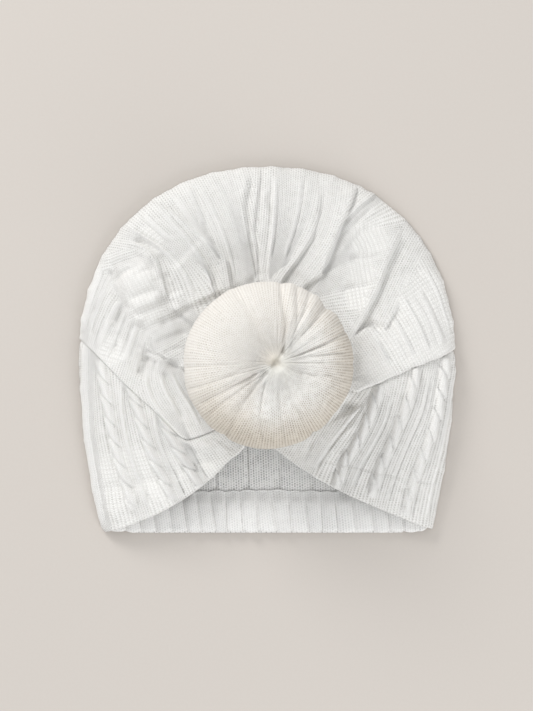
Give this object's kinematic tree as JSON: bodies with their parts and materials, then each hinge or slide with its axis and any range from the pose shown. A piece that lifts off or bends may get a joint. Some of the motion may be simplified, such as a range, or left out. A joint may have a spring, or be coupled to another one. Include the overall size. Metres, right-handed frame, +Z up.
{
  "type": "baby turban hat",
  "caption": "Soft knitted baby turban cap lying flat on its back, open at the hem, with a gathered front, two crossed wraps and a padded donut bun.",
  "frame": {"origin": "on the surface that the hat lies on, under the middle of the hat", "axes": "+X across the hat to its right edge in the picture, +Y towards the top of the crown, +Z up, out of the front of the hat"},
  "size_m": [0.1702, 0.165, 0.0513],
  "materials": {
    "white_knit": "matt white cable knit",
    "cream_knit": "matt cream fine knit, gathered"
  },
  "bodies": {
    "root": {"back_panel": "white_knit", "back_hem": "white_knit", "crown": "white_knit", "left_wrap": "white_knit", "right_wrap": "white_knit", "bun": "cream_knit"}
  },
  "joints": []
}
